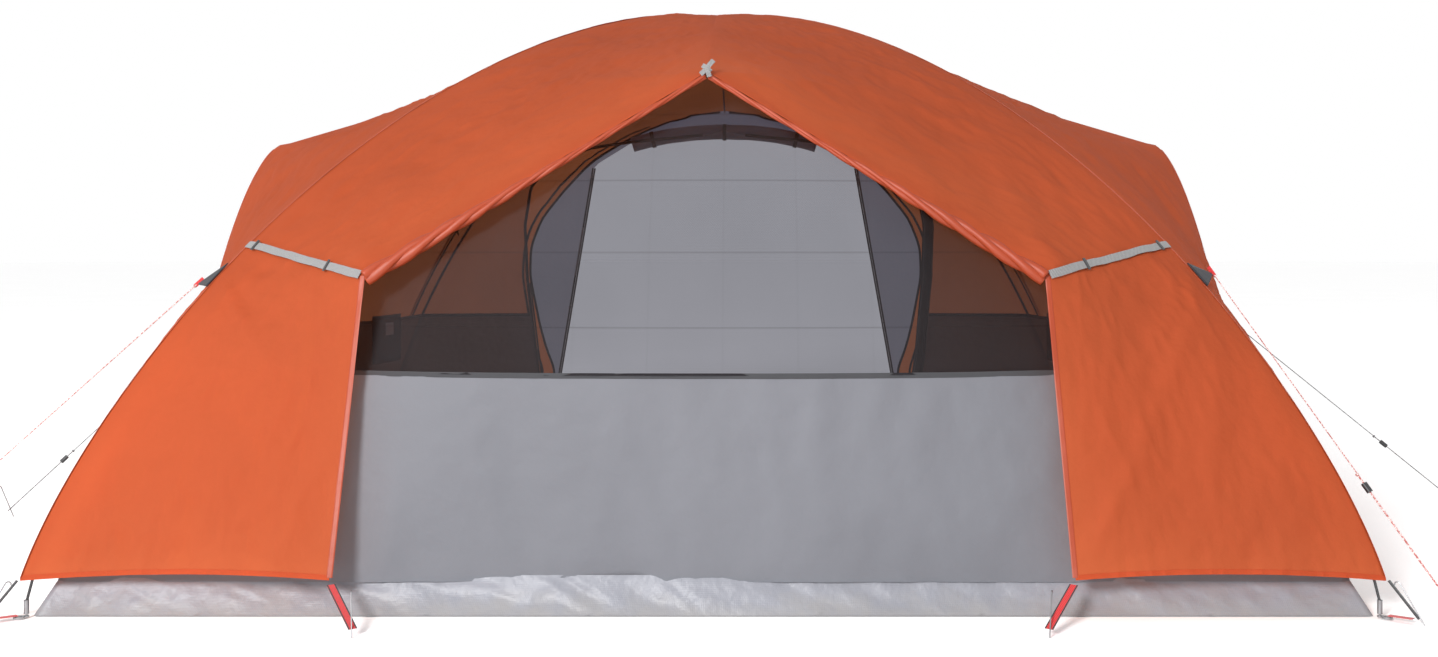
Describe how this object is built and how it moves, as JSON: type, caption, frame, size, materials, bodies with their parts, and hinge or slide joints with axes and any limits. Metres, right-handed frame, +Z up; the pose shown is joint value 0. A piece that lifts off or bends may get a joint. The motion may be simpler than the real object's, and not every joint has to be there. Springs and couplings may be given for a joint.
{
  "type": "dome tent",
  "caption": "Large family dome tent with crossed poles, side hoops, a mesh inner tent on a tub floor, an open-fronted flysheet, a rear door, guylines and pegs.",
  "frame": {"origin": "centre of the footprint, on the ground", "axes": "+Z up; -Y is the front, towards the person who faces the open side; +X is that person's right"},
  "size_m": [6.4667, 4.7932, 2.272],
  "materials": {
    "fly_orange": "matte",
    "porch_grey": "matte",
    "inner_grey": "matte",
    "mesh_black": "matte",
    "groundsheet_pe": "satin",
    "fibreglass_black": "satin",
    "steel": "satin",
    "plastic_black": "matte",
    "webbing_black": "matte",
    "webbing_red": "matte",
    "line_red": "matte",
    "tape_grey": "matte",
    "zip_black": "matte"
  },
  "bodies": {
    "tent": {"main_pole_a": "fibreglass_black", "main_pole_b": "fibreglass_black", "side_pole_left": "fibreglass_black", "side_pole_right": "fibreglass_black", "ridge_pole": "fibreglass_black", "pole_ferrules": "steel", "pole_tips": "steel", "foot_rings": "steel", "pole_clips": "plastic_black", "fly_front_leg_left": "fly_orange", "fly_front_leg_right": "fly_orange", "fly_front_roof": "fly_orange", "fly_side_left": "fly_orange", "fly_side_right": "fly_orange", "fly_rear_left": "fly_orange", "fly_rear_right": "fly_orange", "fly_rear_roof": "fly_orange", "fly_crown_patch": "fly_orange", "rear_porch_panel": "porch_grey", "rear_door_roll": "porch_grey", "rear_door_ties": "webbing_black", "rear_zips": "zip_black", "front_roll_left": "fly_orange", "front_roll_right": "fly_orange", "front_tape_left": "tape_grey", "front_tape_right": "tape_grey", "peak_tie": "tape_grey", "guy_tabs": "webbing_black", "groundsheet": "groundsheet_pe", "inner_wall_front": "inner_grey", "inner_wall_left": "inner_grey", "inner_wall_right": "inner_grey", "inner_wall_rear": "inner_grey", "mesh_front": "mesh_black", "mesh_left": "mesh_black", "mesh_right": "mesh_black", "mesh_rear": "mesh_black", "inner_door_roll": "mesh_black", "inner_zip": "zip_black", "pocket_left": "mesh_black", "pocket_right": "mesh_black", "corner_straps": "webbing_red", "hem_straps": "webbing_black", "door_straps": "webbing_red", "ground_pegs": "steel", "guyline_front_left": "line_red", "guyline_front_right": "line_red", "guyline_side_left": "line_red", "guyline_side_right": "line_red", "guy_pegs": "steel"},
    "rear_slider_left": {"rear_slider_left": "steel"},
    "rear_pull_left": {"rear_pull_left": "plastic_black"},
    "rear_slider_right": {"rear_slider_right": "steel"},
    "rear_pull_right": {"rear_pull_right": "plastic_black"},
    "inner_slider": {"inner_slider": "steel"},
    "inner_pull": {"inner_pull": "plastic_black"},
    "runner_front_left": {"runner_front_left": "plastic_black"},
    "runner_front_right": {"runner_front_right": "plastic_black"},
    "runner_side_left": {"runner_side_left": "plastic_black"},
    "runner_side_right": {"runner_side_right": "plastic_black"}
  },
  "joints": [
    {"name": "rear_slider_left", "type": "slide", "parent": "tent", "child": "rear_slider_left", "axis": [-0.1898, 0.2937, -0.9369], "range_m": [0, 1.4]},
    {"name": "rear_pull_left", "type": "hinge", "parent": "rear_slider_left", "child": "rear_pull_left", "pos_m": [-0.79228, 1.78244, 1.60191], "axis": [0.9818, 0.0568, -0.1811], "range_deg": [0, 150]},
    {"name": "rear_slider_right", "type": "slide", "parent": "tent", "child": "rear_slider_right", "axis": [0.1898, 0.2937, -0.9369], "range_m": [0, 1.4]},
    {"name": "rear_pull_right", "type": "hinge", "parent": "rear_slider_right", "child": "rear_pull_right", "pos_m": [0.79228, 1.78244, 1.60191], "axis": [0.9818, -0.0568, 0.1811], "range_deg": [0, 150]},
    {"name": "inner_slider", "type": "slide", "parent": "tent", "child": "inner_slider", "axis": [-0.0608, -0.3398, 0.9385], "range_m": [0, 0.62]},
    {"name": "inner_pull", "type": "hinge", "parent": "inner_slider", "child": "inner_pull", "pos_m": [-1.13347, 2.02347, 0.33736], "axis": [0.9981, -0.0207, 0.0572], "range_deg": [0, 150]},
    {"name": "runner_front_left", "type": "slide", "parent": "tent", "child": "runner_front_left", "axis": [-0.7348, -0.0592, -0.6757], "range_m": [0, 0.3]},
    {"name": "runner_front_right", "type": "slide", "parent": "tent", "child": "runner_front_right", "axis": [0.4418, -0.4172, -0.7942], "range_m": [0, 0.3]},
    {"name": "runner_side_left", "type": "slide", "parent": "tent", "child": "runner_side_left", "axis": [-0.6474, -0.3243, -0.6897], "range_m": [0, 0.2]},
    {"name": "runner_side_right", "type": "slide", "parent": "tent", "child": "runner_side_right", "axis": [0.7104, -0.2995, -0.6369], "range_m": [0, 0.3]}
  ]
}
